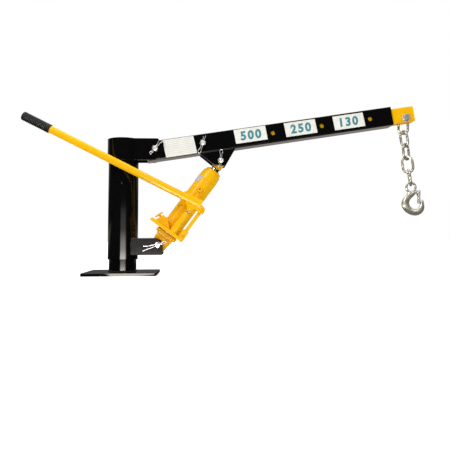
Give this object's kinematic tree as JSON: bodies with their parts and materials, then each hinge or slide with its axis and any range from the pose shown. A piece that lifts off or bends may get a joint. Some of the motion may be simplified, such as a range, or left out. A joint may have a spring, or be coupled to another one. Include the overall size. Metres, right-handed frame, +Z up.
{
  "type": "fixed hydraulic jib crane",
  "caption": "Bolt-down jib crane: swivelling mast on a square plate, telescopic boom raised by a hand-pumped bottle jack, with a chain and latched hook at its end.",
  "frame": {"origin": "centre of the base plate's underside, on the axis that the mast swivels about", "axes": "+X out along the boom, +Z up, +Y away from the side with the jack's handle"},
  "size_m": [1.3878, 0.24, 0.5864],
  "materials": {
    "black_enamel": "black enamel, satin gloss",
    "yellow_enamel": "golden yellow enamel, glossy",
    "bright_zinc": "bright zinc plating",
    "yellow_zinc": "yellow passivated zinc plating, slightly worn",
    "hard_chrome": "ground and hard-chromed",
    "plain_steel": "plain machined steel, oiled",
    "bronze": "plain bearing bronze",
    "rubber": "matte black rubber"
  },
  "bodies": {
    "base": {"base_plate": "black_enamel", "post": "black_enamel", "post_cap": "plain_steel", "thrust_washer": "bronze"},
    "mast": {"mast_sleeve": "black_enamel", "mast_cap": "black_enamel", "head_bracket": "black_enamel", "lower_bracket": "black_enamel", "grease_nipple": "black_enamel", "boom_pin": "bright_zinc", "boom_pin_clip": "bright_zinc", "lower_jack_pin": "bright_zinc", "lower_jack_pin_clip": "bright_zinc"},
    "boom": {"outer_boom": "black_enamel", "gusset_near": "black_enamel", "gusset_far": "black_enamel", "lock_pin": "bright_zinc", "lock_pin_clip": "bright_zinc", "upper_jack_pin": "bright_zinc", "upper_jack_pin_clip": "bright_zinc"},
    "extension": {"inner_boom": "yellow_enamel", "load_bolt": "bright_zinc", "load_washer_near": "bright_zinc", "load_washer_far": "bright_zinc", "load_nut": "bright_zinc"},
    "link_1": {"chain_link_1": "yellow_zinc"},
    "link_2": {"chain_link_2": "yellow_zinc"},
    "link_3": {"chain_link_3": "yellow_zinc"},
    "link_4": {"chain_link_4": "yellow_zinc"},
    "link_5": {"chain_link_5": "yellow_zinc"},
    "hook": {"hook": "yellow_zinc", "latch_rivet": "bright_zinc", "latch_spring": "bright_zinc"},
    "latch": {"latch": "bright_zinc"},
    "jack": {"jack_foot": "yellow_enamel", "foot_screw_1": "bright_zinc", "foot_screw_2": "bright_zinc", "foot_screw_3": "bright_zinc", "foot_screw_4": "bright_zinc", "jack_base": "yellow_enamel", "jack_reservoir": "yellow_enamel", "pressure_cylinder": "plain_steel", "jack_cap": "yellow_enamel", "filler_plug": "yellow_enamel", "pump_cylinder": "yellow_enamel", "link_foot_rivet": "yellow_enamel"},
    "ram": {"ram": "hard_chrome", "ram_head": "yellow_enamel"},
    "release_valve": {"release_valve": "yellow_enamel"},
    "pump_link": {"pump_link": "yellow_enamel"},
    "lever": {"handle_socket": "yellow_enamel", "socket_rivet": "yellow_enamel", "plunger_rivet": "yellow_enamel", "clamp_screw": "yellow_enamel"},
    "plunger": {"pump_plunger": "hard_chrome"},
    "handle": {"handle_tube": "yellow_enamel", "grip": "rubber"}
  },
  "joints": [
    {"name": "mast_swivel", "type": "hinge", "parent": "base", "child": "mast", "pos_m": [0, 0, 0], "axis": [0, 0, 1], "continuous": true},
    {"name": "boom_lift", "type": "hinge", "parent": "mast", "child": "boom", "pos_m": [0.1113, 0, 0.4247], "axis": [0, -1, 0], "range_deg": [0, 40]},
    {"name": "boom_extension", "type": "slide", "parent": "boom", "child": "extension", "axis": [0.9883, 0, 0.1526], "range_m": [0, 0.5473]},
    {"name": "link_1_swing", "type": "hinge", "parent": "extension", "child": "link_1", "pos_m": [0.99119, 0, 0.5434], "axis": [0, -1, 0], "range_deg": [-18, 18]},
    {"name": "link_2_swing", "type": "hinge", "parent": "link_1", "child": "link_2", "pos_m": [0.98952, 0, 0.49023], "axis": [0.9995, 0, -0.0314], "range_deg": [-35, 35]},
    {"name": "link_3_swing", "type": "hinge", "parent": "link_2", "child": "link_3", "pos_m": [0.99665, 0, 0.44417], "axis": [0.2889, -0.9563, 0.0447], "range_deg": [-35, 35]},
    {"name": "link_4_swing", "type": "hinge", "parent": "link_3", "child": "link_4", "pos_m": [1.00031, 0, 0.39772], "axis": [0.7748, 0.6293, 0.061], "range_deg": [-35, 35]},
    {"name": "link_5_swing", "type": "hinge", "parent": "link_4", "child": "link_5", "pos_m": [1.00599, 0, 0.35146], "axis": [0.803, -0.5878, 0.0986], "range_deg": [-35, 35]},
    {"name": "hook_swing", "type": "hinge", "parent": "link_5", "child": "hook", "pos_m": [1.01207, 0, 0.30526], "axis": [-0.2733, -0.9613, -0.036], "range_deg": [-50, 50]},
    {"name": "latch_open", "type": "hinge", "parent": "hook", "child": "latch", "pos_m": [1.03757, 0, 0.28136], "axis": [0, 1, 0], "range_deg": [0, 32], "stiffness_Nm_per_rad": 0.05, "springref_deg": -34.38, "deforming": ["latch_spring"]},
    {"name": "jack_tilt", "type": "hinge", "parent": "mast", "child": "jack", "pos_m": [0.121, 0, 0.0967], "axis": [0, -1, 0], "range_deg": [0, 13.86]},
    {"name": "ram_pin", "type": "hinge", "parent": "boom", "child": "ram", "pos_m": [0.33557, 0, 0.38578], "axis": [0, -1, 0], "range_deg": [-27.14, 0]},
    {"name": "release_screw", "type": "hinge", "parent": "jack", "child": "release_valve", "pos_m": [0.13032, -0.046, 0.19315], "axis": [-0.5507, 0, 0.8347], "range_deg": [0, 360]},
    {"name": "pump_link_rock", "type": "hinge", "parent": "jack", "child": "pump_link", "pos_m": [0.20587, -0.072, 0.13134], "axis": [0, 1, 0], "range_deg": [0, 3.65]},
    {"name": "handle_lift", "type": "hinge", "parent": "pump_link", "child": "lever", "pos_m": [0.26589, -0.072, 0.2122], "axis": [0, 1, 0], "range_deg": [0, 30]},
    {"name": "pump_stroke", "type": "slide", "parent": "jack", "child": "plunger", "axis": [0.596, 0, 0.803], "range_m": [0, 0.0207]},
    {"name": "handle_draw", "type": "slide", "parent": "lever", "child": "handle", "axis": [-0.8929, 0, 0.4503], "range_m": [0, 0.06]}
  ],
  "couplings": [
    {"joint": "jack_tilt", "follows": "boom_lift", "ratio": 0.3341},
    {"joint": "ram_pin", "follows": "boom_lift", "ratio": -0.6659},
    {"joint": "pump_link_rock", "follows": "handle_lift", "ratio": 0.1084},
    {"joint": "pump_stroke", "follows": "handle_lift", "m_per_rad": 0.03847}
  ]
}
